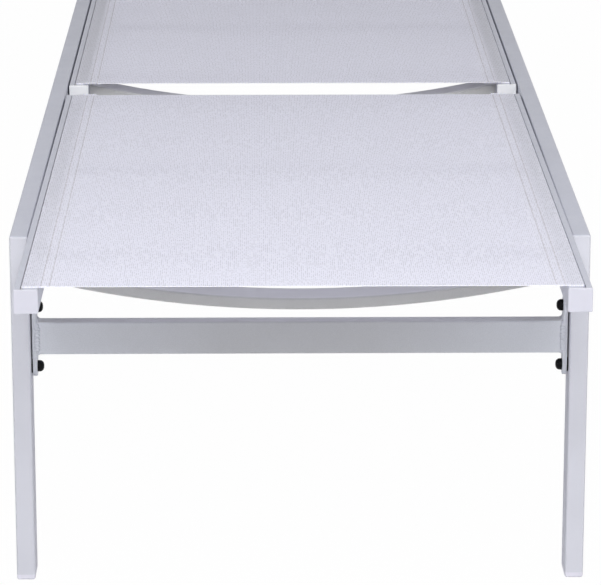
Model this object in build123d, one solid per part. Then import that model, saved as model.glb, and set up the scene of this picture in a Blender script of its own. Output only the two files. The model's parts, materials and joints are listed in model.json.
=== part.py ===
from build123d import *
import math
import os

# Sling chaise lounge with a fixed seat section and a reclining back section.
# X runs across, Y runs from the foot (negative) to the head (positive), Z is up from the floor.
# All lengths are millimetres. Left is negative X, the left of a person who looks from the foot.

# Overall size
overall_width = 680.0
overall_length = 1980.0
rail_top_height = 425.5

# Side frames, rectangular tube on edge with mitred corners
side_tube_width = 22.0
side_tube_height = 45.0
side_tube_wall = 1.6
side_tube_corner = 2.5
foot_frame_setback = 275.0
head_frame_setback = 70.0
leg_depth = 45.0
mitre_round = 3.0
inner_corner_share = 0.4

# Foot glides
glide_height = 6.6
glide_edge = 1.8
glide_plug_length = 24.0
glide_plug_wall = 2.0
glide_rib = 2.0
plug_clearance = 0.25

# Stretchers between the legs, with a welded plate at each end
stretcher_depth = 20.0
stretcher_height = 40.0
stretcher_wall = 1.6
stretcher_corner = 2.5
stretcher_drop = 127.5
weld_leg = 5.0
plate_width = 24.0
plate_thickness = 5.0
plate_edge = 0.8
stretcher_bolt_spacing = 73.0
stretcher_spacer_thickness = 2.0
stretcher_spacer_diameter = 17.0

# Large bolts and their nuts
bolt_diameter = 8.0
bolt_clearance = 0.2
bolt_head_diameter = 14.0
bolt_head_height = 2.4
bolt_socket_across = 5.0
bolt_socket_depth = 1.4
bolt_end = 1.5
bolt_head_edge = 1.2
dome_nut_diameter = 13.7
dome_nut_height = 7.6
dome_nut_depth = 4.6
dome_rim_share = 0.35
dome_flat_share = 0.2
lock_nut_across = 13.0
lock_nut_height = 6.5

# Rack screws
screw_diameter = 5.0
screw_length = 9.0
screw_head_diameter = 9.0
screw_head_height = 2.2

# Sling rails, an extrusion with a keyhole groove in its top
sling_rail_width = 27.0
sling_rail_height = 27.0
sling_rail_wall = 2.0
sling_rail_corner = 1.6
sling_rail_gap = 2.2
groove_offset = 8.4
groove_slot = 2.4
groove_bore = 6.6
groove_depth = 5.5
groove_web = 1.2
spline_diameter = 5.0
back_section_length = 856.0
section_gap = 61.0
seat_rise_degrees = 0.6
seat_bolt_rise = 9.5
foot_seat_bolt_setback = 75.0
rear_seat_bolt_setback = 113.0

# End caps of the sling rails
cap_flange = 3.0
cap_edge = 0.9
cap_plug_length = 14.0

# Woven slings, hemmed round the splines
fabric_thickness = 0.8
fabric_setback = 9.5
hem_width = 36.0
fabric_fold = 1.2

# Bowed spreader bars
spreader_depth = 45.0
spreader_thickness = 14.0
spreader_wall = 1.5
spreader_corner = 3.0
spreader_sag = 33.5
seat_spreader_drop = 8.5
back_spreader_drop = 5.0
spreader_end_block = 20.0
spreader_bolt_diameter = 6.0
spreader_bolt_grip = 11.0
spreader_bolt_head_diameter = 10.0
spreader_bolt_head = 4.0
spreader_socket_across = 4.0
spreader_socket_depth = 2.4
spreader_access = 8.0
foot_spreader_setback = 143.0
rear_spreader_setback = 46.0
lower_spreader_setback = 54.5
upper_spreader_setback = 62.5

# Back hinge
hinge_setback = 30.0
lug_thickness = 4.0
lug_radius = 11.0
lug_weld_rise = 1.5
bush_diameter = 10.0
bush_fit = 0.05
bush_flange_diameter = 15.0
bush_flange = 1.4
hinge_play = 0.7
back_limit_degrees = 70.0

# Prop that holds the back up
prop_arm_length = 270.0
prop_arm_thickness = 5.0
prop_arm_height = 18.0
prop_lug_rise = 12.0
foot_bar_diameter = 14.0
foot_bar_wall = 1.5
foot_sleeve_diameter = 16.0
foot_sleeve_length = 17.0
foot_sleeve_end = 1.2
foot_end_play = 2.6
foot_lift = 0.5
weld_fit = 0.05

# Toothed racks under the side rails
rack_notch_degrees = (15.0, 28.0, 41.0, 54.0, 66.0)
rack_height = 17.0
rack_tooth_width = 18.0
rack_flange_width = 17.0
rack_flange_thickness = 5.0
rack_notch_radius = 8.5
rack_notch_depth = 9.0
rack_ramp_degrees = 40.0
rack_end_margin = 16.0
rack_edge = 2.0
rack_screw_margin = 12.0

# Rests that carry the back when it lies flat
stop_length = 22.0
stop_thickness = 2.5
stop_reach = 20.0
stop_setback = 27.0
stop_leg_height = 13.0
pad_thickness = 3.0
pad_width = 13.0
pad_margin = 2.0
pad_edge = 0.8
rest_clearance = 0.3

# One overrun serves every cut
overrun = 5.0

# Places that follow from the sizes above
half_width = overall_width / 2
half_length = overall_length / 2
side_inner = half_width - side_tube_width
side_middle = half_width - side_tube_width / 2
side_bottom = rail_top_height - side_tube_height
frame_foot = foot_frame_setback - half_length
frame_head = half_length - head_frame_setback
frame_middle = (frame_foot + frame_head) / 2
front_leg_middle = frame_foot + leg_depth / 2
rear_leg_middle = frame_head - leg_depth / 2
sling_outer = side_inner - sling_rail_gap
sling_inner = sling_outer - sling_rail_width
sling_middle = (sling_outer + sling_inner) / 2
sling_bottom = rail_top_height - sling_rail_height
sling_level = (rail_top_height + sling_bottom) / 2
groove_place = sling_outer - groove_offset
bore_level = rail_top_height - groove_depth
channel_radius = groove_bore / 2 + groove_web
back_head = half_length
back_foot = back_head - back_section_length
seat_rear = back_foot - section_gap
seat_rise = math.radians(seat_rise_degrees)
seat_foot = seat_rear - (seat_rear + half_length) / math.cos(seat_rise)
foot_seat_bolt = frame_foot + foot_seat_bolt_setback
rear_seat_bolt = seat_rear - rear_seat_bolt_setback
seat_bolt_places = (foot_seat_bolt, (foot_seat_bolt + rear_seat_bolt) / 2, rear_seat_bolt)
hinge_place = back_foot + hinge_setback
hinge_level = side_bottom + foot_lift + foot_sleeve_diameter / 2
prop_place = hinge_place + prop_arm_length
foot_place = prop_place + prop_arm_length
plate_outer = side_inner - stretcher_spacer_thickness
plate_inner = plate_outer - plate_thickness
lug_inner = sling_outer - lug_thickness
prop_lug_inner = sling_inner - lug_thickness
prop_arm_outer = prop_lug_inner - bush_flange - hinge_play
prop_arm_inner = prop_arm_outer - prop_arm_thickness
foot_bar_end = side_inner - foot_end_play - foot_sleeve_end
bolt_hole = bolt_diameter / 2 + bolt_clearance
head_seat = side_inner + side_tube_wall
seat_spreader_level = rail_top_height - seat_spreader_drop - spreader_thickness / 2
back_spreader_level = rail_top_height - back_spreader_drop - spreader_thickness / 2
spreader_bolt_hole = spreader_bolt_diameter / 2 + bolt_clearance
stretcher_centre_height = rail_top_height - stretcher_drop
plate_length = stretcher_bolt_spacing + plate_width
stretcher_bolt_levels = (
    stretcher_centre_height - stretcher_bolt_spacing / 2,
    stretcher_centre_height + stretcher_bolt_spacing / 2,
)
foot_spreader = seat_foot + foot_spreader_setback
rear_spreader = seat_rear - rear_spreader_setback
lower_spreader = back_foot + lower_spreader_setback
upper_spreader = back_head - upper_spreader_setback
seat_spreader_places = {
    "seat_spreader_foot": foot_spreader,
    "seat_spreader_middle": (foot_spreader + rear_spreader) / 2,
    "seat_spreader_rear": rear_spreader,
}
back_spreader_places = {
    "back_spreader_lower": lower_spreader,
    "back_spreader_middle": (lower_spreader + upper_spreader) / 2,
    "back_spreader_upper": upper_spreader,
}


def seat_bolt_level(place):
    """The height of a seat bolt, which follows the seat section as it rises towards the foot."""
    return sling_bottom + seat_bolt_rise + (seat_rear - place) * math.tan(seat_rise)


def foot_travel(degrees):
    """Where the prop's foot stands along Y when the back is raised by an angle."""
    return hinge_place + 2 * prop_arm_length * math.cos(math.radians(degrees))


rack_start = foot_travel(back_limit_degrees) - rack_end_margin
rack_end = foot_place + rack_end_margin
rack_screw_line = side_inner + rack_flange_width / 2
rack_screw_places = [
    rack_start + rack_screw_margin,
    (foot_travel(rack_notch_degrees[2]) + foot_travel(rack_notch_degrees[3])) / 2,
    (foot_travel(rack_notch_degrees[0]) + foot_travel(rack_notch_degrees[1])) / 2,
    rack_end - rack_screw_margin,
]


def along_x(profile, start, end):
    """Extrude a profile drawn in Y and Z from one X to another."""
    return extrude(Plane.YZ.offset(start) * profile, amount=end - start)


def along_y(profile, start, end):
    """Extrude a profile drawn in X and Z from one Y to another."""
    return extrude(Plane.XZ.offset(-end) * profile, amount=end - start)


def along_z(profile, start, end):
    """Extrude a profile drawn in X and Y from one Z to another."""
    return extrude(Plane.XY.offset(start) * profile, amount=end - start)


def pin_x(y, z, radius, start, end):
    """A round bar along X, for shanks and for the holes that take them."""
    return along_x(Pos(y, z) * Circle(radius), min(start, end), max(start, end))


def span(low, high, bottom, top):
    """A rectangle given by its four edges."""
    return Pos((low + high) / 2, (bottom + top) / 2) * Rectangle(high - low, top - bottom)


def tube_profile(width, height, corner, wall):
    """The section of a rectangular tube with rounded corners."""
    outer = RectangleRounded(width, height, corner)
    inner = RectangleRounded(width - 2 * wall, height - 2 * wall, corner * inner_corner_share)
    return outer - inner


def left(part):
    """The same piece on the left side."""
    return mirror(part, about=Plane.YZ)


def turned(part):
    """The same piece at the other end of the side frames."""
    return mirror(part, about=Plane.XZ.offset(-frame_middle))


def raised(part):
    """A seat piece drawn level, tipped up towards the foot about the hinge end of the seat section."""
    return part.rotate(Axis((0, seat_rear, rail_top_height), (1, 0, 0)), -seat_rise_degrees)


def group(parts):
    """Separate solids that share a node."""
    return Compound(children=list(parts))


def both_sides(parts):
    """A group of right-hand pieces with their twins on the left side."""
    parts = list(parts)
    return group(parts + [left(part) for part in parts])


def mitre_plane():
    """The plane from the top corner of the foot end down to the inside of the corner."""
    normal = Vector(0, side_tube_height, leg_depth)
    return Plane(origin=(side_middle, frame_foot, rail_top_height), z_dir=normal)


def corner_rounder():
    """What the ground weld takes off the top corner where a leg meets a rail."""
    block = span(frame_foot - overrun, frame_foot + mitre_round,
                 rail_top_height - mitre_round, rail_top_height + overrun)
    arc = Pos(frame_foot + mitre_round, rail_top_height - mitre_round) * Circle(mitre_round)
    return along_x(block - arc, side_inner - overrun, half_width + overrun)


def head_access(y, z):
    """A bolt hole in the inner wall of the right side rail and a hole for the head in its outer wall."""
    shank = pin_x(y, z, bolt_hole, side_inner - overrun, side_middle)
    return shank + pin_x(y, z, bolt_head_diameter / 2 + bolt_clearance, side_middle, half_width + overrun)


def side_rail():
    """The right side rail, mitred at both ends and drilled for its bolts and screws."""
    section = tube_profile(side_tube_width, side_tube_height, side_tube_corner, side_tube_wall)
    section = Pos(side_middle, rail_top_height - side_tube_height / 2) * section
    rail = along_y(section, frame_foot, frame_head)
    for _ in range(2):
        rail = split(rail, bisect_by=mitre_plane(), keep=Keep.TOP) - corner_rounder()
        rail = turned(rail)
    for place in seat_bolt_places:
        rail -= head_access(place, seat_bolt_level(place))
    rail -= head_access(hinge_place, hinge_level)
    for place in rack_screw_places:
        hole = Pos(rack_screw_line, place) * Circle(screw_diameter / 2 + bolt_clearance)
        rail -= along_z(hole, side_bottom - overrun, side_bottom + side_tube_wall + bolt_clearance)
    return rail


def front_leg():
    """The right leg at the foot end, mitred into the rail and drilled for the stretcher."""
    section = tube_profile(side_tube_width, leg_depth, side_tube_corner, side_tube_wall)
    leg = along_z(Pos(side_middle, front_leg_middle) * section, glide_height, rail_top_height)
    leg = split(leg, bisect_by=mitre_plane(), keep=Keep.BOTTOM) - corner_rounder()
    for level in stretcher_bolt_levels:
        leg -= pin_x(front_leg_middle, level, bolt_hole,
                     side_inner - overrun, side_inner + side_tube_wall + bolt_clearance)
    return leg


def front_glide():
    """The plastic foot under the right leg at the foot end, with its ribbed plug."""
    foot = along_z(RectangleRounded(side_tube_width, leg_depth, side_tube_corner), 0, glide_height)
    foot = chamfer(foot.faces().sort_by(Axis.Z)[0].edges(), glide_edge)
    plug_width = side_tube_width - 2 * (side_tube_wall + plug_clearance)
    plug_depth = leg_depth - 2 * (side_tube_wall + plug_clearance)
    plug = tube_profile(plug_width, plug_depth, side_tube_corner * inner_corner_share, glide_plug_wall)
    plug = plug + Rectangle(plug_width - glide_plug_wall, glide_rib)
    plug = along_z(plug, glide_height, glide_height + glide_plug_length)
    return Pos(side_middle, front_leg_middle, 0) * (foot + plug)


def weld(side):
    """The hollow weld between one flat of the front stretcher and its right plate. Side 1 is the top."""
    face = stretcher_centre_height + side * stretcher_height / 2
    middle = weld_leg * (1 - math.sqrt(1 / 2))
    corner = (plate_inner, face)
    crest = (plate_inner, face + side * weld_leg)
    toe = (plate_inner - weld_leg, face)
    bite = (plate_inner - middle, face + side * middle)
    outline = make_face([Polyline(toe, corner, crest), ThreePointArc(crest, bite, toe)])
    reach = stretcher_depth / 2 - stretcher_corner
    return along_y(outline, front_leg_middle - reach, front_leg_middle + reach)


def front_stretcher():
    """The tube between the front legs, with the welds that run up each plate."""
    section = tube_profile(stretcher_depth, stretcher_height, stretcher_corner, stretcher_wall)
    bar = along_x(Pos(front_leg_middle, stretcher_centre_height) * section, -plate_inner, plate_inner)
    for side in (-1, 1):
        bar = bar + weld(side) + left(weld(side))
    return bar


def front_plate():
    """The round-ended plate at the right end of the front stretcher."""
    outline = Rot(0, 0, 90) * SlotOverall(plate_length, plate_width)
    plate = along_x(Pos(front_leg_middle, stretcher_centre_height) * outline, plate_inner, plate_outer)
    plate = chamfer(plate.faces().sort_by(Axis.X)[0].edges(), plate_edge)
    for level in stretcher_bolt_levels:
        plate -= pin_x(front_leg_middle, level, bolt_hole, plate_inner - overrun, plate_outer + overrun)
    return plate


def ring(y, z, outer_diameter, bore_radius, start, end):
    """A plain washer or spacer along X."""
    section = Circle(outer_diameter / 2) - Circle(bore_radius)
    return along_x(Pos(y, z) * section, min(start, end), max(start, end))


def headed_bolt(y, z, seat, tip):
    """A large bolt along X with a low round head that faces +X and a hexagon socket."""
    top = seat + bolt_head_height
    head = pin_x(y, z, bolt_head_diameter / 2, seat, top)
    head = chamfer(head.faces().sort_by(Axis.X)[-1].edges(), bolt_head_edge)
    head -= along_x(hexagon(y, z, bolt_socket_across), top - bolt_socket_depth, top + overrun)
    return head + pin_x(y, z, bolt_diameter / 2, tip, seat)


def hexagon(y, z, across):
    """A hexagon drawn in Y and Z, given by its width across the flats."""
    return Pos(y, z) * RegularPolygon(across / 2, 6, major_radius=False)


def lock_nut(y, z, seat):
    """A hexagon nut whose face stands on the plane at seat and which reaches towards -X."""
    nut = along_x(hexagon(y, z, lock_nut_across), seat - lock_nut_height, seat)
    return nut - pin_x(y, z, bolt_hole, seat - lock_nut_height - overrun, seat + overrun)


def stretcher_bolts():
    """Two captive bolts in each leg, with their heads inside the tube and their tips in the dome nuts."""
    tip = plate_inner - dome_nut_depth + bolt_clearance
    return [headed_bolt(place, level, head_seat, tip)
            for place in (front_leg_middle, rear_leg_middle) for level in stretcher_bolt_levels]


def stretcher_spacers():
    """The rings that hold the stretcher plates off the legs."""
    return [ring(place, level, stretcher_spacer_diameter, bolt_hole, plate_outer, side_inner)
            for place in (front_leg_middle, rear_leg_middle) for level in stretcher_bolt_levels]


def dome_nut():
    """A domed nut along X, with its face on the inner face of the right plate and its blind hole."""
    radius = dome_nut_diameter / 2
    rim = (plate_inner - dome_nut_height * dome_rim_share, radius)
    crown = plate_inner - dome_nut_height
    flat = (crown, radius * dome_flat_share)
    quarter = math.sqrt(1 / 2)
    shoulder = (rim[0] + (flat[0] - rim[0]) * quarter, flat[1] + (rim[1] - flat[1]) * quarter)
    outline = make_face([
        Polyline((plate_inner, 0), (plate_inner, radius), rim),
        ThreePointArc(rim, shoulder, flat),
        Polyline(flat, (crown, 0), (plate_inner, 0)),
    ])
    hole = pin_x(0, 0, bolt_hole, plate_inner - dome_nut_depth, plate_inner + overrun)
    return revolve(outline, axis=Axis.X) - hole


def dome_nuts():
    """The domed nuts on the inner faces of the stretcher plates."""
    return [Pos(0, place, level) * dome_nut()
            for place in (front_leg_middle, rear_leg_middle) for level in stretcher_bolt_levels]


def sling_profile():
    """The section of the right sling rail: a box with a keyhole groove for the spline."""
    middle = Pos(sling_middle, sling_level)
    outline = middle * RectangleRounded(sling_rail_width, sling_rail_height, sling_rail_corner)
    hollow = middle * RectangleRounded(sling_rail_width - 2 * sling_rail_wall,
                                       sling_rail_height - 2 * sling_rail_wall,
                                       sling_rail_corner * inner_corner_share)
    channel = Pos(groove_place, bore_level) * Circle(channel_radius)
    neck = span(groove_place - channel_radius, groove_place + channel_radius,
                bore_level, rail_top_height - sling_rail_wall / 2)
    slot = span(groove_place - groove_slot / 2, groove_place + groove_slot / 2,
                bore_level, rail_top_height + overrun)
    bore = Pos(groove_place, bore_level) * Circle(groove_bore / 2)
    return outline - (hollow - channel - neck) - slot - bore


def sling_rail(start, end, spreader_places, level):
    """A right sling rail, drilled for the bolts that hold the spreader bars."""
    rail = along_y(sling_profile(), start + cap_flange, end - cap_flange)
    for place in spreader_places:
        rail -= pin_x(place, level, spreader_bolt_hole,
                      sling_inner - overrun, sling_inner + sling_rail_wall + bolt_clearance)
        rail -= pin_x(place, level, spreader_access / 2,
                      sling_outer - sling_rail_wall - bolt_clearance, sling_outer + overrun)
    return rail


def seat_sling_rail():
    """The right rail of the seat section, bolted through the side rail."""
    rail = raised(sling_rail(seat_foot, seat_rear, seat_spreader_places.values(), seat_spreader_level))
    for place in seat_bolt_places:
        level = seat_bolt_level(place)
        rail -= pin_x(place, level, bolt_hole, sling_inner - overrun, sling_outer + overrun)
    return rail


def lug(place, rise, start, end):
    """A round-ended lug that hangs under a back rail, with a hole for a pivot bush."""
    outline = Pos(place, hinge_level) * Circle(lug_radius)
    outline += span(place - lug_radius, place + lug_radius, hinge_level, sling_bottom + rise)
    hole = Pos(place, hinge_level) * Circle(bush_diameter / 2 + bush_fit)
    return along_x(outline - hole, start, end)


def back_sling_rail():
    """The right rail of the back section, with its hinge lug and its prop lug welded on."""
    rail = sling_rail(back_foot, back_head, back_spreader_places.values(), back_spreader_level)
    rail += lug(hinge_place, lug_weld_rise, lug_inner, sling_outer)
    rail += lug(prop_place, prop_lug_rise, prop_lug_inner, sling_inner)
    return rail


def spline(start, end):
    """The rod that locks the hem of a sling in the right groove."""
    rod = Pos(groove_place, bore_level) * Circle(spline_diameter / 2)
    return along_y(rod, start + fabric_setback, end - fabric_setback)


def sling(start, end):
    """A woven sheet from groove to groove, double at its hems, with a tongue down each slot."""
    low = rail_top_height
    single = low + fabric_thickness
    high = single + fabric_thickness
    tongue = bore_level + spline_diameter / 2
    inner = groove_place - fabric_thickness
    outer = groove_place + fabric_thickness
    hem = groove_place - hem_width
    right = [(hem, single), (hem, low), (inner, low), (inner, tongue), (outer, tongue), (outer, high)]
    points = right + [(-x, z) for x, z in reversed(right)]
    sheet = make_face(Polyline(*points, close=True))
    crests = sheet.vertices().group_by(Axis.Y)[-1]
    sheet = fillet(crests, fabric_fold)
    return along_y(sheet, start + fabric_setback, end - fabric_setback)


def cap(face, side):
    """A right end cap: its outer face is at one Y, and side says which way its plug points."""
    flange = Pos(sling_middle, sling_level) * RectangleRounded(
        sling_rail_width, sling_rail_height, sling_rail_corner)
    root = face + side * cap_flange
    plate = along_y(flange, min(face, root), max(face, root))
    outer_face = plate.faces().sort_by(Axis.Y)[0 if side > 0 else -1]
    plate = fillet(outer_face.edges(), cap_edge)
    inset = sling_rail_wall + plug_clearance
    plug = span(sling_inner + inset, sling_outer - inset,
                sling_bottom + inset, bore_level - channel_radius - plug_clearance)
    tip = root + side * cap_plug_length
    return plate + along_y(plug, min(root, tip), max(root, tip))


def spreader(place, level):
    """A hollow bar bowed downwards between two sling rails, with straight solid ends for the bolts."""
    reach = sling_inner - spreader_end_block
    half_slope = math.atan(spreader_sag / (reach + 2 * spreader_end_block))
    slope = 2 * half_slope
    radius = reach / math.sin(slope)
    bottom = level - reach * math.tan(half_slope) - spreader_end_block * math.tan(slope)
    axis = Axis((0, place, bottom + radius), (0, 1, 0))
    turn = math.degrees(slope)
    outline = RectangleRounded(spreader_depth, spreader_thickness, spreader_corner)
    hollow = RectangleRounded(spreader_depth - 2 * spreader_wall, spreader_thickness - 2 * spreader_wall,
                              spreader_corner * inner_corner_share)
    middle = Plane.YZ * Pos(place, bottom) * (outline - hollow)
    bar = revolve(middle, axis=axis, revolution_arc=2 * turn).rotate(axis, -turn)
    root = Plane(origin=(reach, place, bottom + radius * (1 - math.cos(slope))),
                 x_dir=(0, 1, 0), z_dir=(math.cos(slope), 0, math.sin(slope)))
    end = extrude(root * outline, amount=spreader_end_block + overrun)
    end = split(end, bisect_by=Plane(origin=(sling_inner, 0, 0), z_dir=(-1, 0, 0)), keep=Keep.TOP)
    end -= pin_x(place, level, spreader_bolt_hole,
                 sling_inner - spreader_bolt_grip - bolt_clearance, sling_inner + overrun)
    return bar + end + left(end)


def spreader_bolt(place, level):
    """A socket bolt inside the right sling rail that holds one spreader bar."""
    seat = sling_inner + sling_rail_wall
    top = seat + spreader_bolt_head
    tip = sling_inner - spreader_bolt_grip
    head = pin_x(place, level, spreader_bolt_head_diameter / 2, seat, top)
    socket = hexagon(place, level, spreader_socket_across)
    head -= along_x(socket, top - spreader_socket_depth, top + overrun)
    return head + pin_x(place, level, spreader_bolt_diameter / 2, tip, seat)


def spreader_bolts(places, level):
    """The bolts inside the right sling rail, one for each spreader bar."""
    return [spreader_bolt(place, level) for place in places]


def seat_bolts():
    """The bolts through the right side rail and the seat rail, with their heads inside the tube."""
    tip = sling_inner - lock_nut_height - bolt_end
    return [headed_bolt(place, seat_bolt_level(place), head_seat, tip) for place in seat_bolt_places]


def seat_spacers():
    """The rings in the gap between the right side rail and the seat rail."""
    return [ring(place, seat_bolt_level(place), bolt_head_diameter, bolt_hole, sling_outer, side_inner)
            for place in seat_bolt_places]


def lock_nuts():
    """The nuts on the seat bolts and on the hinge bolt."""
    nuts = [lock_nut(place, seat_bolt_level(place), sling_inner) for place in seat_bolt_places]
    return nuts + [lock_nut(hinge_place, hinge_level, lug_inner - hinge_play)]


def pivot_bush(y, flange_seat, tip):
    """A plastic bush along X, with its flange against the plane at flange_seat."""
    flange = ring(y, hinge_level, bush_flange_diameter, bolt_hole, flange_seat - bush_flange, flange_seat)
    return flange + ring(y, hinge_level, bush_diameter, bolt_hole, tip, flange_seat)


def hinge_bolt():
    """The bolt through the right side rail that the back turns on."""
    tip = lug_inner - hinge_play - lock_nut_height - bolt_end
    return headed_bolt(hinge_place, hinge_level, head_seat, tip)


def prop_bolt():
    """The bolt through the right prop lug that the prop arm turns on."""
    tip = prop_arm_inner - hinge_play - lock_nut_height - bolt_end
    return headed_bolt(prop_place, hinge_level, sling_inner, tip)


def prop_arm():
    """The right flat arm of the prop, from its pivot on the back to the foot bar."""
    middle = (prop_place + foot_place) / 2
    outline = Pos(middle, hinge_level) * SlotCenterToCenter(prop_arm_length, prop_arm_height)
    arm = along_x(outline, prop_arm_inner, prop_arm_outer)
    start = prop_arm_inner - overrun
    end = prop_arm_outer + overrun
    arm -= pin_x(prop_place, hinge_level, bush_diameter / 2 + bush_fit, start, end)
    return arm - pin_x(foot_place, hinge_level, foot_bar_diameter / 2 + weld_fit, start, end)


def foot_bar():
    """The tube across the foot of the prop."""
    bore = foot_bar_diameter / 2 - foot_bar_wall
    return ring(foot_place, hinge_level, foot_bar_diameter, bore, -foot_bar_end, foot_bar_end)


def foot_sleeve():
    """The plastic cup on the right end of the foot bar, which drops into the rack."""
    end = foot_bar_end + foot_sleeve_end
    cup = pin_x(foot_place, hinge_level, foot_sleeve_diameter / 2, end - foot_sleeve_length, end)
    bore = foot_bar_diameter / 2 + weld_fit
    return cup - pin_x(foot_place, hinge_level, bore, end - foot_sleeve_length - overrun, foot_bar_end)


def notch(place):
    """One notch: a round seat, upright towards the head and a ramp towards the foot."""
    centre = side_bottom - rack_notch_depth + rack_notch_radius
    ramp = math.radians(rack_ramp_degrees)
    touch = (place - rack_notch_radius * math.sin(ramp), centre - rack_notch_radius * math.cos(ramp))
    top = side_bottom + overrun
    run = (top - touch[1]) / math.tan(ramp)
    mouth = Polyline((place, centre), (place + rack_notch_radius, centre), (place + rack_notch_radius, top),
                     (touch[0] - run, top), touch, close=True)
    return make_face(mouth) + Pos(place, centre) * Circle(rack_notch_radius)


def rack():
    """The right rack: a toothed ledge beside the side rail and a flange screwed under it."""
    start = side_inner - rack_tooth_width
    ledge = span(rack_start, rack_end, side_bottom - rack_height, side_bottom)
    ledge = fillet(ledge.vertices().group_by(Axis.Y)[0], rack_edge)
    for degrees in rack_notch_degrees:
        ledge -= notch(foot_travel(degrees))
    flange = span(rack_start, rack_end, side_bottom - rack_flange_thickness, side_bottom)
    part = along_x(ledge, start, side_inner)
    part += along_x(flange, side_inner, side_inner + rack_flange_width)
    for place in rack_screw_places:
        hole = Pos(rack_screw_line, place) * Circle(screw_diameter / 2 + bolt_clearance)
        part -= along_z(hole, side_bottom - rack_flange_thickness - overrun, side_bottom + overrun)
    return part


def rack_screws():
    """The screws that hold the right rack under the side rail."""
    face = side_bottom - rack_flange_thickness
    screws = []
    for place in rack_screw_places:
        head = along_z(Circle(screw_head_diameter / 2), face - screw_head_height, face)
        head = chamfer(head.faces().sort_by(Axis.Z)[0].edges(), screw_head_height / 2)
        screw = head + along_z(Circle(screw_diameter / 2), face, face + screw_length)
        screws.append(Pos(rack_screw_line, place, 0) * screw)
    return screws


def back_stop():
    """The right angle bracket near the head that carries the lowered back."""
    shelf = sling_bottom - rest_clearance - pad_thickness
    outline = span(side_inner - stop_reach, side_inner, shelf - stop_thickness, shelf)
    outline += span(side_inner - stop_thickness, side_inner, shelf - stop_leg_height, shelf)
    start = frame_head - stop_setback
    return along_y(outline, start, start + stop_length)


def stop_pad():
    """The rubber pad on the right bracket."""
    shelf = sling_bottom - rest_clearance - pad_thickness
    start = frame_head - stop_setback + pad_margin
    low = side_inner - stop_reach + pad_margin
    pad = along_y(span(low, low + pad_width, shelf, shelf + pad_thickness),
                  start, start + stop_length - 2 * pad_margin)
    return chamfer(pad.faces().sort_by(Axis.Z)[-1].edges(), pad_edge)


def pair(pieces, name, part):
    """Two nodes, one for the right piece and one for its twin on the left."""
    pieces[name + "_right"] = part
    pieces[name + "_left"] = left(part)


def frame_pieces():
    """Everything that stands still: side frames, seat section, racks and rests."""
    pieces = {}
    pair(pieces, "side_rail", side_rail())
    pair(pieces, "front_leg", front_leg())
    pair(pieces, "rear_leg", turned(front_leg()))
    pair(pieces, "front_glide", front_glide())
    pair(pieces, "rear_glide", turned(front_glide()))
    pieces["front_stretcher"] = front_stretcher()
    pieces["rear_stretcher"] = turned(front_stretcher())
    pair(pieces, "front_stretcher_plate", front_plate())
    pair(pieces, "rear_stretcher_plate", turned(front_plate()))
    pieces["stretcher_bolts"] = both_sides(stretcher_bolts())
    pieces["stretcher_spacers"] = both_sides(stretcher_spacers())
    pieces["stretcher_dome_nuts"] = both_sides(dome_nuts())
    pair(pieces, "seat_sling_rail", seat_sling_rail())
    pieces["seat_sling_splines"] = both_sides([raised(spline(seat_foot, seat_rear))])
    pieces["seat_sling"] = raised(sling(seat_foot, seat_rear))
    for name, place in seat_spreader_places.items():
        pieces[name] = raised(spreader(place, seat_spreader_level))
    bolts = spreader_bolts(seat_spreader_places.values(), seat_spreader_level)
    pieces["seat_spreader_bolts"] = both_sides([raised(bolt) for bolt in bolts])
    pair(pieces, "seat_cap_foot", raised(cap(seat_foot, 1)))
    pieces["seat_caps_rear"] = both_sides([raised(cap(seat_rear, -1))])
    pieces["seat_rail_bolts"] = both_sides(seat_bolts())
    pieces["seat_rail_spacers"] = both_sides(seat_spacers())
    pieces["lock_nuts"] = both_sides(lock_nuts())
    pair(pieces, "rack", rack())
    pieces["rack_screws"] = both_sides(rack_screws())
    pair(pieces, "back_stop", back_stop())
    pieces["back_stop_pads"] = both_sides([stop_pad()])
    pieces["hinge_bolts"] = both_sides([hinge_bolt()])
    pieces["hinge_bushes"] = both_sides([pivot_bush(hinge_place, side_inner, lug_inner - hinge_play)])
    return pieces


def back_pieces():
    """Everything that turns with the back section."""
    pieces = {}
    pair(pieces, "back_sling_rail", back_sling_rail())
    pieces["back_sling_splines"] = both_sides([spline(back_foot, back_head)])
    pieces["back_sling"] = sling(back_foot, back_head)
    for name, place in back_spreader_places.items():
        pieces[name] = spreader(place, back_spreader_level)
    bolts = spreader_bolts(back_spreader_places.values(), back_spreader_level)
    pieces["back_spreader_bolts"] = both_sides(bolts)
    pair(pieces, "back_cap_hinge", cap(back_foot, 1))
    pieces["back_caps_head"] = both_sides([cap(back_head, -1)])
    pieces["prop_pivot_bolts"] = both_sides([prop_bolt()])
    pieces["prop_pivot_bushes"] = both_sides(
        [pivot_bush(prop_place, prop_lug_inner, prop_arm_inner - hinge_play)])
    pieces["prop_pivot_nuts"] = both_sides(
        [lock_nut(prop_place, hinge_level, prop_arm_inner - hinge_play)])
    return pieces


def prop_pieces():
    """The prop that swings under the back."""
    pieces = {}
    pair(pieces, "prop_arm", prop_arm())
    pieces["prop_foot_bar"] = foot_bar()
    pieces["prop_foot_sleeves"] = both_sides([foot_sleeve()])
    return pieces


os.makedirs("parts", exist_ok=True)
for name, part in {**frame_pieces(), **back_pieces(), **prop_pieces()}.items():
    export_step(part, f"parts/{name}.step")
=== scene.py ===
import json
import math
import random

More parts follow.
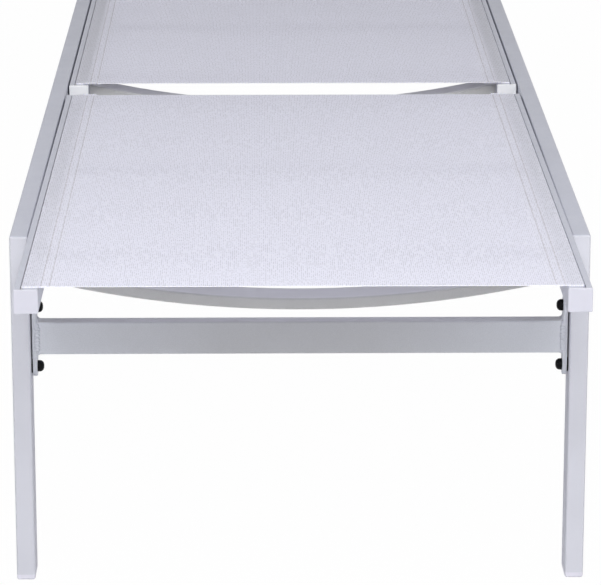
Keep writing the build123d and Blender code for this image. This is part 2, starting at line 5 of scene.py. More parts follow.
import bpy
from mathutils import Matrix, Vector


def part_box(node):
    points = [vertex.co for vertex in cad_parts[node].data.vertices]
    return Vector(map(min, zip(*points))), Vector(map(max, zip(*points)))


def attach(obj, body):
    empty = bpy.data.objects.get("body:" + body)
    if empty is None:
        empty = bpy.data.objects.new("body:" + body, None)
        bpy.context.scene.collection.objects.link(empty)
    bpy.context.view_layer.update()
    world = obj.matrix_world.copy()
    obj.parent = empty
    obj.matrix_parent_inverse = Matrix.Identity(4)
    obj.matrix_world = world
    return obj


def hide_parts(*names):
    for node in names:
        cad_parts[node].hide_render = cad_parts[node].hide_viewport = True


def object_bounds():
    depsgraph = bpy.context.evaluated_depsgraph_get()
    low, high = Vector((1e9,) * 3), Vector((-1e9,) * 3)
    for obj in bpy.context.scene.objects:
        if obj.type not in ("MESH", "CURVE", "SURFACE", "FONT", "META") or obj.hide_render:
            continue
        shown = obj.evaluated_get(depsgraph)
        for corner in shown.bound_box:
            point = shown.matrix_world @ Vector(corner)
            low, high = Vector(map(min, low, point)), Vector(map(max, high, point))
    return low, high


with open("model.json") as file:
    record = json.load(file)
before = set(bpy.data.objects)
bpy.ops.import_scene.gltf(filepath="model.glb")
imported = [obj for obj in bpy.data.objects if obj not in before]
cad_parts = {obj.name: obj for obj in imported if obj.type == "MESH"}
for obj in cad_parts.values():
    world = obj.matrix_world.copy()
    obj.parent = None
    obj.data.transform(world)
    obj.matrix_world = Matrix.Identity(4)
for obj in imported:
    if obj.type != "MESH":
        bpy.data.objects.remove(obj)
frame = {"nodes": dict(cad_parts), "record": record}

CAD_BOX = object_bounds()
MM = 0.001

# Photograph and camera
PHOTO_WIDTH = 601
SENSOR_WIDTH = 36.0
CLIP_END = 100.0
FOCAL_PIXELS = 3350.0
CAMERA_PLACE = (-0.046, -4.503, 1.406)
CAMERA_PITCH = 15.48
CAMERA_YAW = 0.70

# Places read from the CAD model
BACK_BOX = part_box("back_sling")
RAIL_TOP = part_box("side_rail_right")[1][2]
SLING_EDGE = BACK_BOX[1][0]
SLING_TOP = BACK_BOX[1][2]
TONGUE_BOTTOM = BACK_BOX[0][2]
SECTION_GAP = 61.0 * MM
SEAT_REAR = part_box("back_cap_hinge_right")[0][1] - SECTION_GAP
SEAT_RISE = math.radians(0.6)
FABRIC_SETBACK = 9.5 * MM

# Woven panels
FABRIC = 0.8 * MM
PANEL_SINK = 0.25 * FABRIC
GROOVE = SLING_EDGE - FABRIC
HEM_WIDTH = 36.0 * MM
TONGUE_OUTER = 0.1 * MM
TONGUE_FOLD = ((-1.0, 0.0, 0.0), (-0.98, 0.02, 1.0), (-0.6, 0.1, 1.0),
               (-0.2, 0.4, 1.0), (0.0, 1.0, 1.0))
PANEL_ROWS = 10
SHARP_ANGLE = math.radians(50)

# Cut ends of the panels: teeth, and frayed yarns at the hinge
TOOTH_PITCH = 2.2 * MM
TOOTH_DEPTH = 1.1 * MM
TOOTH_SHARES = (0.65, 0.95)
EDGE_REACH = 0.1 * MM
YARN_END_PITCH = 4.4 * MM
FIBRES = 34
FIBRE_RADIUS = 0.45 * MM
FIBRE_LENGTHS = (2.0 * MM, 7.0 * MM)
FIBRE_ROOTS = (0.5 * MM, 1.2 * MM)
FIBRE_LIFTS = (-0.4 * MM, 0.9 * MM)
FIBRE_BEND = 0.9
FRAY_REACH = (12.0 * MM, 33.0 * MM)

# Seams
STITCH_LINES = (21.2 * MM, 30.4 * MM)
STITCH_START = 1.2
STITCH_PITCH = 3.4 * MM
STITCH_LENGTH = 2.5 * MM
STITCH_RADIUS = 0.42 * MM
STITCH_WANDER = 0.12 * MM
STITCH_DIMPLE = 0.35 * MM
STITCH_DIMPLE_HALF = 0.8 * MM
STITCH_SINK = 0.75 * STITCH_DIMPLE
THREAD_SIDES = 5
CAPSULE_RINGS = ((-0.5, 0.25), (-0.3, 1.0), (0.3, 1.0), (0.5, 0.25))

# Weave: yarn pitches, heights and tones, and the uneven openings between the yarns
WEAVE_X = 1.1 * MM
WEAVE_Y = 1.3 * MM
WARP_LEVEL = 0.55
WEFT_LEVEL = 0.45
YARN_PRESS = 0.45
YARN_TOP = 0.75
YARN_TONES = (0.86, 1.05)
YARN_RELIEF = 0.35 * MM
SLUB_SCALE = 240.0
OPENING_SPAN = (0.2, 0.8)
OPENING_TONES = (1.10, 0.73)
KNOT_STRETCH = 0.3
KNOT_SCALE = 480.0
KNOT_SPAN = (0.35, 0.62)
KNOT_LEAST = 0.15

# Fabric, thread and cut edge: shine, and how strongly their relief shows
FABRIC_ROUGHNESS = 0.62
FABRIC_SHEEN = 0.12
FABRIC_SHINE = 0.35
YARN_STRENGTH = 0.55
THREAD_ROUGHNESS = 0.6
THREAD_TONES = (0.85, 1.05)
TWIST_SCALE = 900.0
TWIST_WANDER = 1.0
TWIST_STRENGTH = 0.3
EDGE_ROUGHNESS = 0.6
YARN_END_SPAN = (-0.4, 0.4)

# Surface grains: noise scales, tones, depths and strengths
NOISE_SPAN = (0.3, 0.7)
FLAKE_SCALE = 2600.0
FLAKE_SPAN = (0.35, 0.65)
FLAKE_TONES = (0.93, 1.06)
DRIFT_SCALE = 9.0
DRIFT_TONES = (0.975, 1.025)
COAT_PATCH_SCALE = 60.0
COAT_PATCH = 0.05
PEEL_SCALE = 900.0
PEEL_DEPTH = 0.12 * MM
PEEL_STRENGTH = 0.22
# Slopes over which upward faces take their painted top light
TOP_LIGHT_SLOPES = (0.6, 0.95)
PLASTIC_DRIFT_SCALE = 45.0
PLASTIC_TONES = (0.98, 1.015)
PLASTIC_GRAIN_SCALE = 1800.0
PLASTIC_SMOOTHER = 0.04
PLASTIC_ROUGHER = 0.06
GRAIN_STRENGTH = 0.15
STREAK_SCALE = 700.0
STREAK_STRENGTH = 0.1
STEEL_TONES = (0.9, 1.06)
STEEL_METALLIC = 0.9
STEEL_ROUGHNESS = (0.28, 0.42)
FINE_DEPTH = 0.1 * MM

# Weld beads of the stretchers
WELD_LEG = 5.0 * MM
BEAD_RADIUS = 4.2 * MM
BEAD_FLATNESS = 0.8
BEAD_RIPPLES = 9
BEAD_LEVEL = 0.82
BEAD_WAVE = 0.18
BEAD_ROUGHNESS = 0.07
BEAD_TIP = 0.35
BEAD_TAPER = 4.0
BEAD_RINGS = 46
BEAD_SIDES = 10

# Colours, linear
FABRIC_COLOUR = (0.868, 0.873, 0.985, 1)
# Hems: a shade lighter, painted light against their shade over the rails
HEM_PAINTED_LIGHT_COLOUR = (0.873, 0.878, 0.985, 1)
EDGE_COLOUR = (0.94, 0.94, 0.96, 1)
THREAD_COLOUR = (0.52, 0.49, 0.52, 1)
COAT_COLOUR = (0.496, 0.508, 0.585, 1)
# Legs: a lighter copy of the frame coat, painted light
LEG_PAINTED_LIGHT_COLOUR = (0.622, 0.628, 0.685, 1)
# Stretchers: lighter ends painted light, a darker middle painted shade under the sling, upward
# faces painted top light
STRETCHER_PAINTED_LIGHT_COLOUR = (0.615, 0.632, 0.685, 1)
STRETCHER_PAINTED_SHADE = (0.500, 0.506, 0.530, 1)
STRETCHER_PAINTED_TOP_LIGHT = (0.66, 0.66, 0.67, 1)
STRETCHER_SHADE_FADE = (0.08, 0.30)
BAR_COLOUR = (0.49, 0.49, 0.49, 1)
# Bars: upward faces painted lighter, as painted top light
BAR_PAINTED_TOP_LIGHT = (0.74, 0.74, 0.74, 1)
CAP_COLOUR = (0.59, 0.59, 0.665, 1)
# Hinge caps: a lighter copy of the cap plastic, painted light
HINGE_CAP_PAINTED_LIGHT_COLOUR = (0.86, 0.87, 0.90, 1)
GLIDE_COLOUR = (0.70, 0.69, 0.77, 1)
BLACK_COLOUR = (0.006, 0.006, 0.007, 1)
NYLON_COLOUR = (0.62, 0.62, 0.60, 1)
RUBBER_COLOUR = (0.025, 0.025, 0.027, 1)
STEEL_COLOUR = (0.52, 0.52, 0.54, 1)

# Share and colour of the light that the open mesh lets through
LIGHT_THROUGH = 0.26
THROUGH_COLOUR = (0.96, 0.95, 0.97, 1)

# Studio
WORLD_STRENGTH = 0.32
FLOOR_SIZE = 30.0
FLOOR_COLOUR = (0.88, 0.88, 0.90, 1)
FLOOR_ROUGHNESS = 0.8
FLOOR_DRIFT_SCALE = 3.0
FLOOR_TONES = (0.99, 1.0)
FLOOR_GLOW = 0.985

# Lamps: name, place, target, size, power
LAMPS = (
    ("front_high", (0.0, -3.6, 3.0), (0, -0.6, 0.3), 2.2, 83.5),
    ("side_left", (-2.2, -3.6, 1.5), (0, -0.7, 0.3), 1.6, 11.0),
    ("side_right", (2.2, -3.6, 1.5), (0, -0.7, 0.3), 1.6, 17.5),
    ("top_front", (0.0, -1.7, 2.4), (0, -0.7, 0.4), 1.6, 14.0),
    ("top_rear", (0.0, 0.6, 3.2), (0, 0.2, 0.4), 2.4, 4.2),
)


def shader(name):
    """A new node material with its tree, its principled shader and its object coordinates."""
    material = bpy.data.materials.new(name)
    material.use_nodes = True
    tree = material.node_tree
    principled = tree.nodes["Principled BSDF"]
    coordinates = tree.nodes.new("ShaderNodeTexCoord")
    return material, tree, principled, coordinates.outputs["Object"]


def noise(tree, vector, scale, detail=2.0, roughness=0.5):
    """A noise texture on given coordinates."""
    node = tree.nodes.new("ShaderNodeTexNoise")
    node.inputs["Scale"].default_value = scale
    node.inputs["Detail"].default_value = detail
    node.inputs["Roughness"].default_value = roughness
    tree.links.new(vector, node.inputs["Vector"])
    return node.outputs["Fac"]


def remap(tree, value, low, high, to_low, to_high):
    """A clamped linear change of range."""
    node = tree.nodes.new("ShaderNodeMapRange")
    for name, number in (("From Min", low), ("From Max", high),
                         ("To Min", to_low), ("To Max", to_high)):
        node.inputs[name].default_value = number
    tree.links.new(value, node.inputs["Value"])
    return node.outputs["Result"]


def arithmetic(tree, operation, first, second=None):
    """A math node. Each input is a socket or a number."""
    node = tree.nodes.new("ShaderNodeMath")
    node.operation = operation
    for socket, value in zip(node.inputs, (first, second)):
        if value is None:
            continue
        if isinstance(value, (int, float)):
            socket.default_value = value
        else:
            tree.links.new(value, socket)
    return node.outputs["Value"]


def tint(tree, colour, factor):
    """A colour times a factor socket."""
    node = tree.nodes.new("ShaderNodeVectorMath")
    node.operation = "SCALE"
    node.inputs[0].default_value = colour[:3]
    tree.links.new(factor, node.inputs["Scale"])
    return node.outputs["Vector"]


def mix(tree, factor, first, second):
    """A colour mix. Factor is a socket, and each colour is a socket or a value."""
    node = tree.nodes.new("ShaderNodeMix")
    node.data_type = "RGBA"
    tree.links.new(factor, node.inputs["Factor"])
    for name, value in (("A", first), ("B", second)):
        socket = [s for s in node.inputs if s.name == name and s.type == "RGBA"][0]
        if isinstance(value, tuple):
            socket.default_value = value
        else:
            tree.links.new(value, socket)
    return [s for s in node.outputs if s.type == "RGBA"][0]


def components(tree, vector):
    """The X, Y and Z sockets of a vector."""
    node = tree.nodes.new("ShaderNodeSeparateXYZ")
    tree.links.new(vector, node.inputs[0])
    return node.outputs["X"], node.outputs["Y"], node.outputs["Z"]


def ridge(tree, value):
    """A row of round ridges, one for each whole step of a value."""
    wave = arithmetic(tree, "SINE", arithmetic(tree, "MULTIPLY", value, math.pi))
    return arithmetic(tree, "ABSOLUTE", wave)


def yarn(tree, own, other, level):
    """The height of one yarn, lower where the crossing yarn presses it."""
    pressed = arithmetic(tree, "ADD", arithmetic(tree, "MULTIPLY", other, YARN_PRESS), level)
    return arithmetic(tree, "MULTIPLY", own, pressed)


def blended(tree, share, first, second):
    """Two shaders mixed onto the material output. Share is a socket or a number."""
    blend = tree.nodes.new("ShaderNodeMixShader")
    if isinstance(share, float):
        blend.inputs[0].default_value = share
    else:
        tree.links.new(share, blend.inputs[0])
    tree.links.new(first.outputs[0], blend.inputs[1])
    tree.links.new(second.outputs[0], blend.inputs[2])
    tree.links.new(blend.outputs[0], tree.nodes["Material Output"].inputs["Surface"])


def bump(tree, principled, height, strength, distance):
    """Bump on a shader's normal."""
    node = tree.nodes.new("ShaderNodeBump")
    node.inputs["Strength"].default_value = strength
    node.inputs["Distance"].default_value = distance
    tree.links.new(height, node.inputs["Height"])
    tree.links.new(node.outputs["Normal"], principled.inputs["Normal"])


def powder_coat(name, colour, roughness, metallic, painted_top_light=None, painted_middle_shade=None, shine=0.35):
    """Satin powder coat: orange-peel skin, fine flakes and a slow drift of tone.

    Upward faces can take a lighter tone painted in as top light, and faces near the plane of
    symmetry a darker tone painted in as shade under the sling.
    """
    material, tree, principled, vector = shader(name)
    flakes = remap(tree, noise(tree, vector, FLAKE_SCALE, detail=1.0),
                   *FLAKE_SPAN, *FLAKE_TONES)
    drift = remap(tree, noise(tree, vector, DRIFT_SCALE, detail=3.0),
                  *NOISE_SPAN, *DRIFT_TONES)
    tone = arithmetic(tree, "MULTIPLY", flakes, drift)
    paint = tint(tree, colour, tone)
    # Painted shade: a darker tone near the plane of symmetry, where the sling shades the
    # stretcher
    if painted_middle_shade:
        across = arithmetic(tree, "ABSOLUTE", components(tree, vector)[0])
        out_of_shade = remap(tree, across, *STRETCHER_SHADE_FADE, 0.0, 1.0)
        paint = mix(tree, out_of_shade, tint(tree, painted_middle_shade, tone), paint)
    # Painted top light: a lighter tone on upward faces
    if painted_top_light:
        normal = tree.nodes.new("ShaderNodeNewGeometry").outputs["Normal"]
        lit_top = remap(tree, components(tree, normal)[2], *TOP_LIGHT_SLOPES, 0.0, 1.0)
        paint = mix(tree, lit_top, paint, tint(tree, painted_top_light, drift))
    tree.links.new(paint, principled.inputs["Base Color"])
    principled.inputs["Specular IOR Level"].default_value = shine
    patches = remap(tree, noise(tree, vector, COAT_PATCH_SCALE, detail=3.0), *NOISE_SPAN,
                    roughness - COAT_PATCH, roughness + COAT_PATCH)
    tree.links.new(patches, principled.inputs["Roughness"])
    principled.inputs["Metallic"].default_value = metallic
    bump(tree, principled, noise(tree, vector, PEEL_SCALE), PEEL_STRENGTH, PEEL_DEPTH)
    return material


def moulded_plastic(name, colour, roughness, shine=0.5):
    """Moulded plastic with a faint grain."""
    material, tree, principled, vector = shader(name)
    drift = remap(tree, noise(tree, vector, PLASTIC_DRIFT_SCALE, detail=3.0),
                  *NOISE_SPAN, *PLASTIC_TONES)
    tree.links.new(tint(tree, colour, drift), principled.inputs["Base Color"])
    grain = noise(tree, vector, PLASTIC_GRAIN_SCALE)
    patches = remap(tree, grain, *NOISE_SPAN,
                    roughness - PLASTIC_SMOOTHER, roughness + PLASTIC_ROUGHER)
    tree.links.new(patches, principled.inputs["Roughness"])
    principled.inputs["Specular IOR Level"].default_value = shine
    bump(tree, principled, grain, GRAIN_STRENGTH, FINE_DEPTH)
    return material


def plated_steel(name):
    """Turned and plated steel."""
    material, tree, principled, vector = shader(name)
    streaks = noise(tree, vector, STREAK_SCALE, detail=4.0, roughness=0.7)
    tone = remap(tree, streaks, *NOISE_SPAN, *STEEL_TONES)
    tree.links.new(tint(tree, STEEL_COLOUR, tone), principled.inputs["Base Color"])
    principled.inputs["Metallic"].default_value = STEEL_METALLIC
    patches = remap(tree, streaks, *NOISE_SPAN, *STEEL_ROUGHNESS)
    tree.links.new(patches, principled.inputs["Roughness"])
    bump(tree, principled, streaks, STREAK_STRENGTH, FINE_DEPTH)
    return material


def woven_fabric(name):
    """Coated mesh: round yarns over and under, darker between them. Hems are a shade lighter:
    painted light against their shade over the rails.
    """
    material, tree, principled, vector = shader(name)
    place_x, place_y, _ = components(tree, vector)
    across = arithmetic(tree, "MULTIPLY", place_x, 1 / WEAVE_X)
    along = arithmetic(tree, "MULTIPLY", place_y, 1 / WEAVE_Y)
    ridge_x = ridge(tree, across)
    ridge_y = ridge(tree, along)
    cells = arithmetic(tree, "ADD", arithmetic(tree, "FLOOR", across),
                       arithmetic(tree, "FLOOR", along))
    parity = arithmetic(tree, "PINGPONG", cells, 1.0)
    over = arithmetic(tree, "MULTIPLY", yarn(tree, ridge_x, ridge_y, WARP_LEVEL), parity)
    under = arithmetic(tree, "MULTIPLY", yarn(tree, ridge_y, ridge_x, WEFT_LEVEL),
                       arithmetic(tree, "SUBTRACT", 1.0, parity))
    height = arithmetic(tree, "ADD", over, under)
    slub = remap(tree, noise(tree, vector, SLUB_SCALE, detail=3.0), *NOISE_SPAN, *DRIFT_TONES)
    pair = arithmetic(tree, "PINGPONG", across, 1.0)
    knots = tree.nodes.new("ShaderNodeMapping")
    knots.inputs["Scale"].default_value = (1.0, KNOT_STRETCH, 1.0)
    tree.links.new(vector, knots.inputs["Vector"])
    speck = noise(tree, knots.outputs["Vector"], KNOT_SCALE, detail=0.0)
    openings = arithmetic(tree, "MULTIPLY", remap(tree, pair, *OPENING_SPAN, 0.0, 1.0),
                          remap(tree, speck, *KNOT_SPAN, KNOT_LEAST, 1.0))
    slub = arithmetic(tree, "MULTIPLY", slub, remap(tree, openings, 0.0, 1.0, *OPENING_TONES))
    shade = arithmetic(tree, "MULTIPLY", remap(tree, height, 0.0, YARN_TOP, *YARN_TONES), slub)
    edge = arithmetic(tree, "ABSOLUTE", place_x)
    inner_hem = GROOVE - HEM_WIDTH
    in_hem = remap(tree, edge, inner_hem - MM, inner_hem + MM, 0.0, 1.0)
    # Hems painted lighter, offsetting their shade over the rails
    colour = mix(tree, in_hem, FABRIC_COLOUR, HEM_PAINTED_LIGHT_COLOUR)
    scale = tree.nodes.new("ShaderNodeVectorMath")
    scale.operation = "SCALE"
    tree.links.new(colour, scale.inputs[0])
    tree.links.new(shade, scale.inputs["Scale"])
    tree.links.new(scale.outputs["Vector"], principled.inputs["Base Color"])
    principled.inputs["Roughness"].default_value = FABRIC_ROUGHNESS
    principled.inputs["Sheen Weight"].default_value = FABRIC_SHEEN
    principled.inputs["Specular IOR Level"].default_value = FABRIC_SHINE
    bump(tree, principled, height, YARN_STRENGTH, YARN_RELIEF)
    through = tree.nodes.new("ShaderNodeBsdfTranslucent")
    through.inputs["Color"].default_value = THROUGH_COLOUR
    blended(tree, LIGHT_THROUGH, principled, through)
    return material


def thread(name):
    """Sewing thread, twisted."""
    material, tree, principled, vector = shader(name)
    wave = tree.nodes.new("ShaderNodeTexWave")
    wave.inputs["Scale"].default_value = TWIST_SCALE
    wave.inputs["Distortion"].default_value = TWIST_WANDER
    tree.links.new(vector, wave.inputs["Vector"])
    twist = wave.outputs["Fac"]
    tone = remap(tree, twist, 0.0, 1.0, *THREAD_TONES)
    tree.links.new(tint(tree, THREAD_COLOUR, tone), principled.inputs["Base Color"])
    principled.inputs["Roughness"].default_value = THREAD_ROUGHNESS
    bump(tree, principled, twist, TWIST_STRENGTH, FINE_DEPTH)
    return material


def cut_edge(name):
    """The cut edge of the weave: pale yarn ends side by side."""
    material, tree, principled, vector = shader(name)
    across = components(tree, vector)[0]
    turns = arithmetic(tree, "MULTIPLY", across, 2 * math.pi / YARN_END_PITCH)
    share = remap(tree, arithmetic(tree, "SINE", turns), *YARN_END_SPAN, 0.0, 1.0)
    tree.links.new(mix(tree, share, FABRIC_COLOUR, EDGE_COLOUR), principled.inputs["Base Color"])
    principled.inputs["Roughness"].default_value = EDGE_ROUGHNESS
    return material


def make_materials():
    """The materials: those keyed by the record's slot names, and the scene's own."""
    return {
        "frame_powder_coat": powder_coat("powder_coat", COAT_COLOUR,
                                         roughness=0.44, metallic=0.10, shine=0.2),
        # Legs: a lighter copy of the frame coat, painted light
        "leg_coat_painted_light": powder_coat("leg_coat_painted_light", LEG_PAINTED_LIGHT_COLOUR, roughness=0.55, metallic=0.0, shine=0.08),
        # Stretchers: a copy of the frame coat with painted light, painted shade and painted top
        # light
        "stretcher_coat_painted_light_and_shade": powder_coat("stretcher_coat_painted_light_and_shade", STRETCHER_PAINTED_LIGHT_COLOUR,
                                      roughness=0.44, metallic=0.10,
                                      painted_top_light=STRETCHER_PAINTED_TOP_LIGHT, painted_middle_shade=STRETCHER_PAINTED_SHADE),
        "mechanism_finish": powder_coat("mechanism_coat", COAT_COLOUR,
                                        roughness=0.46, metallic=0.18),
        # Bars: upward faces painted lighter, as painted top light
        "spreader_finish": powder_coat("spreader_coat", BAR_COLOUR,
                                       roughness=0.50, metallic=0.12, painted_top_light=BAR_PAINTED_TOP_LIGHT),
        "sling_fabric": woven_fabric("woven_mesh"),
        "white_caps": moulded_plastic("white_cap_plastic", CAP_COLOUR, roughness=0.42),
        "white_glides": moulded_plastic("white_glide_plastic", GLIDE_COLOUR, roughness=0.50),
        "black_fittings": moulded_plastic("black_plastic", BLACK_COLOUR,
                                          roughness=0.35, shine=0.08),
        "nylon": moulded_plastic("nylon_plastic", NYLON_COLOUR, roughness=0.50),
        "rubber_pads": moulded_plastic("rubber", RUBBER_COLOUR, roughness=0.75),
        "plated_fasteners": plated_steel("plated_steel"),
        "thread": thread("sewing_thread"),
        "cut_edge": cut_edge("cut_edge"),
        # Hinge caps: a lighter copy of the cap plastic, painted light
        "hinge_caps_painted_light": moulded_plastic("hinge_cap_painted_light_plastic", HINGE_CAP_PAINTED_LIGHT_COLOUR, roughness=0.38),
    }


def dress_nodes(materials):
    """Give every CAD node its slot's material. Legs, stretchers and hinge caps have their own
    copies, with painted light and shade.
    """
    for subpart in frame["record"]["subparts"]:
        name = subpart["node"]
        finish = subpart["material_slot"]
        # Legs take a lighter copy of the frame coat, painted light
        if finish == "frame_powder_coat" and "leg" in name:
            finish = "leg_coat_painted_light"
        # Stretchers take a copy of the frame coat with painted light and painted shade
        if finish == "frame_powder_coat" and "stretcher" in name:
            finish = "stretcher_coat_painted_light_and_shade"
        # Hinge caps take a lighter copy of the cap plastic, painted light
        if "cap_hinge" in name:
            finish = "hinge_caps_painted_light"
        node = frame["nodes"][name]
        node.data.materials.clear()
        node.data.materials.append(materials[finish])


def mesh_object(name, points, faces, material, smooth=True):
    """A mesh object from points and faces."""
    mesh = bpy.data.meshes.new(name)
    mesh.from_pydata(points, [], faces)
    mesh.materials.append(material)
    for polygon in mesh.polygons:
        polygon.use_smooth = smooth
    mesh.update()
    piece = bpy.data.objects.new(name, mesh)
    bpy.context.scene.collection.objects.link(piece)
    return piece


def stitch_places():
    """Where the stitch lines run across X, on both sides."""
    return [side * (GROOVE - line) for side in (-1, 1) for line in STITCH_LINES]


def panel_columns():
    """The X places of a panel's columns: two to a tooth, and three more at each stitch line."""
    reach = GROOVE + TONGUE_OUTER - 2 * FABRIC
    count = 2 * round(2 * reach / TOOTH_PITCH)
    columns = [-reach + 2 * reach * i / count for i in range(count + 1)]
    for place in stitch_places():
        columns += [place - STITCH_DIMPLE_HALF, place, place + STITCH_DIMPLE_HALF]
    return sorted(columns)


def panel_section():
    """The section of a panel as columns of (x, top, bottom), with a tongue down each groove."""
    section = []
    stitches = stitch_places()
    for x in panel_columns():
        nearest = min(abs(x - place) for place in stitches)
        dip = STITCH_DIMPLE * max(0.0, 1 - nearest / STITCH_DIMPLE_HALF)
        in_hem = abs(x) > GROOVE - HEM_WIDTH
        sink = 0.0 if in_hem else PANEL_SINK
        bottom = RAIL_TOP if in_hem else RAIL_TOP + FABRIC - sink
        section.append((x, SLING_TOP - dip - sink, bottom))
    deep = RAIL_TOP - TONGUE_BOTTOM
    root = GROOVE + TONGUE_OUTER
    right = [(root + FABRIC * out, SLING_TOP - FABRIC * down, RAIL_TOP - deep * into)
             for out, down, into in TONGUE_FOLD]
    left = [(-x, top, bottom) for x, top, bottom in reversed(right)]
    return left + section + right


def raised(point):
    """A point of the seat panel drawn level, turned up towards the foot with its rails."""
    reach = point[1] - SEAT_REAR
    rise = point[2] - RAIL_TOP
    return (point[0], SEAT_REAR + reach * math.cos(SEAT_RISE) + rise * math.sin(SEAT_RISE),
            RAIL_TOP - reach * math.sin(SEAT_RISE) + rise * math.cos(SEAT_RISE))


def panel(name, ends, materials, seed):
    """A woven panel with cut teeth along its two free edges, drawn level."""
    rng = random.Random(seed)
    section = panel_section()
    start = ends[0] + TOOTH_DEPTH
    end = ends[1] - TOOTH_DEPTH
    rows = [start + (end - start) * i / PANEL_ROWS for i in range(PANEL_ROWS + 1)]
    rows = [ends[0]] + rows + [ends[1]]
    points = []
    for j, y in enumerate(rows):
        for i, (x, top, bottom) in enumerate(section):
            reach = 0.0
            if j in (0, len(rows) - 1) and i % 2:
                reach = TOOTH_DEPTH * rng.uniform(*TOOTH_SHARES)
            inward = reach if j == 0 else -reach
            points.append((x, y + inward, top))
            points.append((x, y + inward, bottom))
    width = len(section)
    faces = []
    for j in range(len(rows) - 1):
        for i in range(width - 1):
            a = 2 * (j * width + i)
            b = a + 2
            c = a + 2 * width
            d = c + 2
            faces.append((a, b, d, c))
            faces.append((a + 1, c + 1, d + 1, b + 1))
    for j in (0, len(rows) - 1):
        for i in range(width - 1):
            a = 2 * (j * width + i)
            b = a + 2
            faces.append((a, a + 1, b + 1, b) if j == 0 else (a, b, b + 1, a + 1))
    for i in (0, width - 1):
        for j in range(len(rows) - 1):
            a = 2 * (j * width + i)
            c = a + 2 * width
            faces.append((a, c, c + 1, a + 1) if i == 0 else (a, a + 1, c + 1, c))
    piece = mesh_object(name, points, faces, materials["sling_fabric"])
    piece.data.materials.append(materials["cut_edge"])
    for polygon in piece.data.polygons:
        lowest = min(points[k][1] for k in polygon.vertices)
        highest = max(points[k][1] for k in polygon.vertices)
        if highest < start + EDGE_REACH or lowest > end - EDGE_REACH:
            polygon.material_index = 1
    piece.data.set_sharp_from_angle(angle=SHARP_ANGLE)
    return piece


def tube_faces(rings, sides, base=0):
    """The faces of a closed tube that turns anticlockwise on its way up."""
    faces = []
    for ring in range(rings - 1):
        for k in range(sides):
            a = base + ring * sides + k
            b = base + ring * sides + (k + 1) % sides
            faces.append((a, b, b + sides, a + sides))
    last = base + (rings - 1) * sides
    faces.append(tuple(base + k for k in reversed(range(sides))))
    faces.append(tuple(last + k for k in range(sides)))
    return faces


def capsule(centre, length, radius, base):
    """Points and faces of one stitch or fibre: a rod along Y with pinched ends."""
    points = []
    for along, share in CAPSULE_RINGS:
        for k in range(THREAD_SIDES):
            angle = 2 * math.pi * k / THREAD_SIDES
            points.append((centre[0] + radius * share * math.cos(angle),
                           centre[1] + length * along,
                           centre[2] + radius * share * math.sin(angle)))
    faces = tube_faces(len(CAPSULE_RINGS), THREAD_SIDES, base)
    return points, [tuple(reversed(face)) for face in faces]


def stitches(name, ends, material, seed):
    """Two rows of lockstitch along each hem of a panel, drawn level."""
    rng = random.Random(seed)
    points = []
    faces = []
    count = int((ends[1] - ends[0] - 2 * STITCH_PITCH) / STITCH_PITCH)
    for place in stitch_places():
        for i in range(count):
            y = ends[0] + STITCH_PITCH * (i + STITCH_START)
            x = place + rng.uniform(-STITCH_WANDER, STITCH_WANDER)
            centre = (x, y, SLING_TOP - STITCH_SINK)
            new_points, new_faces = capsule(centre, STITCH_LENGTH, STITCH_RADIUS, len(points))
            points += new_points
            faces += new_faces
    return mesh_object(name, points, faces, material)


def fibres(name, ends, material, seed):
    """Frayed yarn ends on a panel's hems at the hinge, where they were cut."""
    rng = random.Random(seed)
    points = []
    faces = []
    end, outward = min(((ends[0], -1), (ends[1], 1)), key=lambda item: abs(item[0] - SEAT_REAR))
    for side in (-1, 1):
        for _ in range(FIBRES):
            x = side * (GROOVE - rng.uniform(*FRAY_REACH))
            length = rng.uniform(*FIBRE_LENGTHS)
            y = end + outward * (length / 2 - rng.uniform(*FIBRE_ROOTS))
            centre = (x, y, SLING_TOP + rng.uniform(*FIBRE_LIFTS))
            new_points, new_faces = capsule(centre, length, FIBRE_RADIUS, len(points))
            bend = rng.uniform(-FIBRE_BEND, FIBRE_BEND)
            points += [(p[0] + bend * (p[1] - y), p[1], p[2]) for p in new_points]
            faces += new_faces
    return mesh_object(name, points, faces, material)


def dress_sling(name, node, ends, body, materials, seed):
    """Replace one sling solid by a woven panel with its stitching and its frayed yarns."""
    sheet = panel(name, ends, materials, seed)
    seams = stitches(name + "_stitches", ends, materials["thread"], seed + 1)
    ragged = fibres(name + "_fibres", ends, materials["cut_edge"], seed + 2)
    for piece in (sheet, seams, ragged):
        if node == "seat_sling":
            for vertex in piece.data.vertices:
                vertex.co = raised(vertex.co)
        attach(piece, body)
    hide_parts(node)


def bead_points(x, y, bottom, top, rng):
    """The points of one rippled weld bead, from its bottom to its top."""
    points = []
    for ring in range(BEAD_RINGS + 1):
        share = ring / BEAD_RINGS
        wave = BEAD_WAVE * math.sin(2 * math.pi * share * BEAD_RIPPLES)
        ripple = BEAD_LEVEL + wave + rng.uniform(-BEAD_ROUGHNESS, BEAD_ROUGHNESS)
        taper = min(1.0, BEAD_TIP + BEAD_TAPER * min(share, 1 - share))
        radius = BEAD_RADIUS * ripple * taper
        for k in range(BEAD_SIDES):
            angle = 2 * math.pi * k / BEAD_SIDES
            points.append((x + radius * math.cos(angle),
                           y + radius * BEAD_FLATNESS * math.sin(angle),
                           bottom + (top - bottom) * share))
    return points


def weld_beads(name, node, material, seed):
    """Rippled weld beads up the corners between one stretcher and its two plates."""
    low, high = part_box(node)
    rng = random.Random(seed)
    points = []
    faces = []
    for x in (low[0], high[0]):
        for y in (low[1], high[1]):
            faces += tube_faces(BEAD_RINGS + 1, BEAD_SIDES, len(points))
            points += bead_points(x, y, low[2] + WELD_LEG, high[2] - WELD_LEG, rng)
    beads = mesh_object(name, points, faces, material)
    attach(beads, "frame")


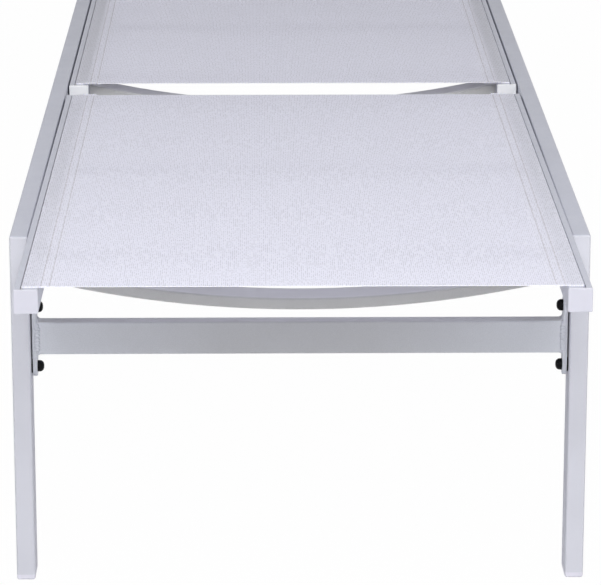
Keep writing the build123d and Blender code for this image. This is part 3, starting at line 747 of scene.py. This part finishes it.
def make_camera():
    """The camera at the photograph's viewing angle."""
    data = bpy.data.cameras.new("camera")
    data.sensor_width = SENSOR_WIDTH
    data.lens = FOCAL_PIXELS * SENSOR_WIDTH / PHOTO_WIDTH
    data.clip_end = CLIP_END
    camera = bpy.data.objects.new("camera", data)
    camera.location = CAMERA_PLACE
    camera.rotation_euler = (math.radians(90 - CAMERA_PITCH), 0, math.radians(-CAMERA_YAW))
    bpy.context.scene.collection.objects.link(camera)
    bpy.context.scene.camera = camera


def area_light(name, place, target, size, power):
    """A soft square lamp that faces a target."""
    data = bpy.data.lights.new(name, "AREA")
    data.size = size
    data.energy = power
    lamp = bpy.data.objects.new(name, data)
    lamp.location = place
    lamp.rotation_euler = (Vector(target) - Vector(place)).to_track_quat("-Z", "Y").to_euler()
    bpy.context.scene.collection.objects.link(lamp)


def seen_directly(tree):
    """1 on rays from the camera and in reflections and glass, and 0 on the rest."""
    path = tree.nodes.new("ShaderNodeLightPath")
    share = path.outputs["Is Camera Ray"]
    for kind in ("Is Glossy Ray", "Is Transmission Ray"):
        share = arithmetic(tree, "MAXIMUM", share, path.outputs[kind])
    return share


def make_world():
    """White to the camera and in reflections, and a plain soft light on everything else."""
    world = bpy.data.worlds.new("studio")
    bpy.context.scene.world = world
    world.use_nodes = True
    tree = world.node_tree
    background = tree.nodes["Background"]
    strength = arithmetic(tree, "ADD", arithmetic(
        tree, "MULTIPLY", seen_directly(tree), 1 - WORLD_STRENGTH), WORLD_STRENGTH)
    background.inputs["Color"].default_value = (1, 1, 1, 1)
    tree.links.new(strength, background.inputs["Strength"])


def make_floor():
    """A pale floor that shows near white and keeps a soft shadow."""
    material, tree, principled, vector = shader("floor_paint")
    principled.inputs["Roughness"].default_value = FLOOR_ROUGHNESS
    tone = remap(tree, noise(tree, vector, FLOOR_DRIFT_SCALE, detail=3.0),
                 *NOISE_SPAN, *FLOOR_TONES)
    tree.links.new(tint(tree, FLOOR_COLOUR, tone), principled.inputs["Base Color"])
    glow = tree.nodes.new("ShaderNodeEmission")
    glow.inputs["Color"].default_value = (1, 1, 1, 1)
    share = arithmetic(tree, "MULTIPLY", seen_directly(tree), FLOOR_GLOW)
    blended(tree, share, principled, glow)
    half = FLOOR_SIZE / 2
    corners = [(-half, -half, 0), (half, -half, 0), (half, half, 0), (-half, half, 0)]
    floor = mesh_object("floor", corners, [(0, 1, 2, 3)], material, smooth=False)


def make_studio():
    """Lamps, world, floor and view settings."""
    make_world()
    make_floor()
    for lamp in LAMPS:
        area_light(*lamp)
    bpy.context.scene.view_settings.view_transform = "Standard"


materials = make_materials()
dress_nodes(materials)
# The seat panel is drawn level and then turned up, so its foot end starts a little further out.
seat_start = SEAT_REAR - (SEAT_REAR - CAD_BOX[0][1]) / math.cos(SEAT_RISE)
seat_ends = (seat_start + FABRIC_SETBACK, SEAT_REAR - FABRIC_SETBACK)
dress_sling("seat_panel", "seat_sling", seat_ends, "frame", materials, seed=11)
back_ends = (BACK_BOX[0][1], BACK_BOX[1][1])
dress_sling("back_panel", "back_sling", back_ends, "backrest", materials, seed=23)
weld_beads("front_weld_beads", "front_stretcher", materials["stretcher_coat_painted_light_and_shade"], seed=31)
weld_beads("rear_weld_beads", "rear_stretcher", materials["stretcher_coat_painted_light_and_shade"], seed=37)
make_camera()
make_studio()
